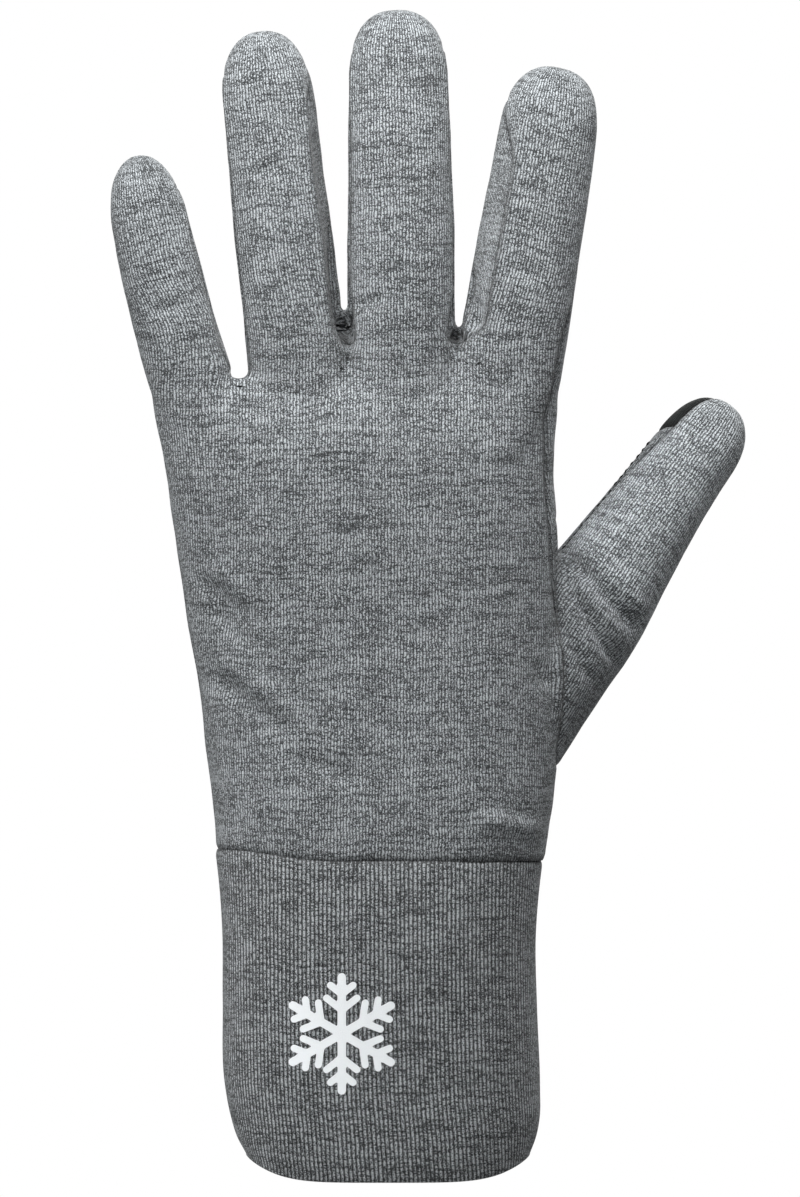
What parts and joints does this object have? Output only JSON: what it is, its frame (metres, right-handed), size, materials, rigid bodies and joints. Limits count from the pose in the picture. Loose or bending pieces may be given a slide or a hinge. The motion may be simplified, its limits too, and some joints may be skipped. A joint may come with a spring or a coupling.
{
  "type": "glove liner",
  "caption": "Thin grey heather knit glove liner for the left hand, in its worn form, with a long folded cuff, finger side strips and a dark thumb pad.",
  "frame": {"origin": "centre of the wrist opening at the hem", "axes": "+Z from the hem to the fingertips, +X towards the thumb's side, +Y from the back of the hand to its palm"},
  "size_m": [0.1413, 0.0601, 0.2602],
  "materials": {
    "knit": "fine heather jersey knit with upright wales, matte",
    "cuff_knit": "heather rib knit, a little coarser, matte",
    "pad_knit": "close dark conductive knit, dull"
  },
  "bodies": {
    "root": {"back_panel": "knit", "palm_panel": "knit", "strip_little_ring": "knit", "strip_ring_middle": "knit", "strip_middle_index": "knit", "thumb_back": "knit", "thumb_palm": "knit", "thumb_pad": "pad_knit", "cuff": "cuff_knit"}
  },
  "joints": []
}
